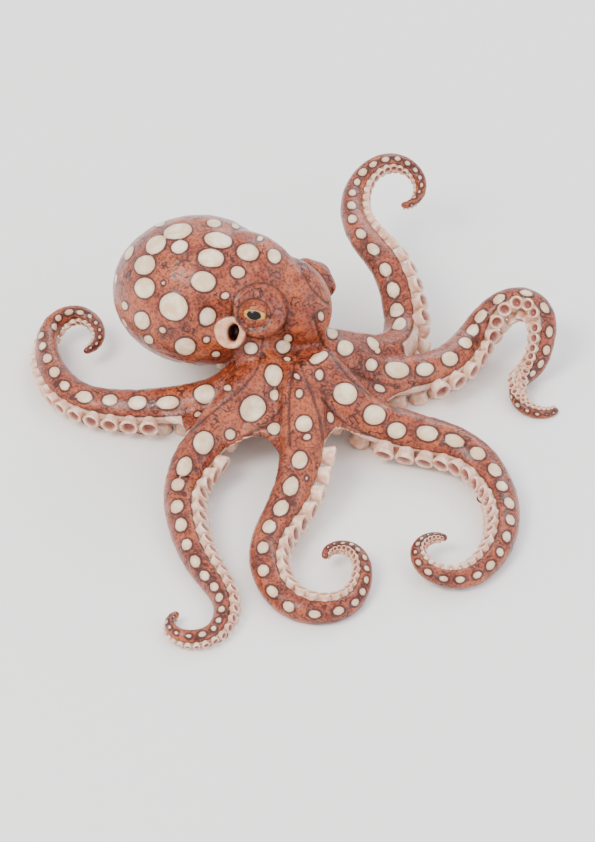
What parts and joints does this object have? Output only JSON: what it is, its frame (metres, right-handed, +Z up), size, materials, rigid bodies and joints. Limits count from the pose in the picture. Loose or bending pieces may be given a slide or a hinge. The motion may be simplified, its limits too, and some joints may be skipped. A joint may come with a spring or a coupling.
{
  "type": "octopus",
  "caption": "Life-size still octopus crawling on a floor, round spotted mantle, arms spread wide with curled tips and rows of suckers.",
  "frame": {"origin": "middle of the animal's bounding box, on the floor it rests on", "axes": "+Z up; the head faces +X and a little towards -Y, with the mantle behind it towards -X; -Y is the side of the right eye"},
  "size_m": [0.5478, 0.6716, 0.1957],
  "materials": {
    "skin": "moist soft skin, red-brown with cream spots ringed in dark maroon, paler below and on the suckers",
    "siphon_skin": "moist thin skin, pale pinkish brown",
    "eye": "wet golden eyeball with a dark level slot pupil"
  },
  "bodies": {
    "root": {"mantle": "skin", "head": "skin", "web": "skin", "arm_r1_1": "skin", "arm_r1_2": "skin", "arm_r1_3": "skin", "arm_r1_4": "skin", "arm_r2_1": "skin", "arm_r2_2": "skin", "arm_r2_3": "skin", "arm_r2_4": "skin", "arm_r3_1": "skin", "arm_r3_2": "skin", "arm_r3_3": "skin", "arm_r3_4": "skin", "arm_r4_1": "skin", "arm_r4_2": "skin", "arm_r4_3": "skin", "arm_r4_4": "skin", "arm_l1_1": "skin", "arm_l1_2": "skin", "arm_l1_3": "skin", "arm_l1_4": "skin", "arm_l2_1": "skin", "arm_l2_2": "skin", "arm_l2_3": "skin", "arm_l2_4": "skin", "arm_l3_1": "skin", "arm_l3_2": "skin", "arm_l3_3": "skin", "arm_l3_4": "skin", "arm_l4_1": "skin", "arm_l4_2": "skin", "arm_l4_3": "skin", "arm_l4_4": "skin", "siphon": "siphon_skin", "eye_right": "eye", "eye_left": "eye"}
  },
  "joints": []
}
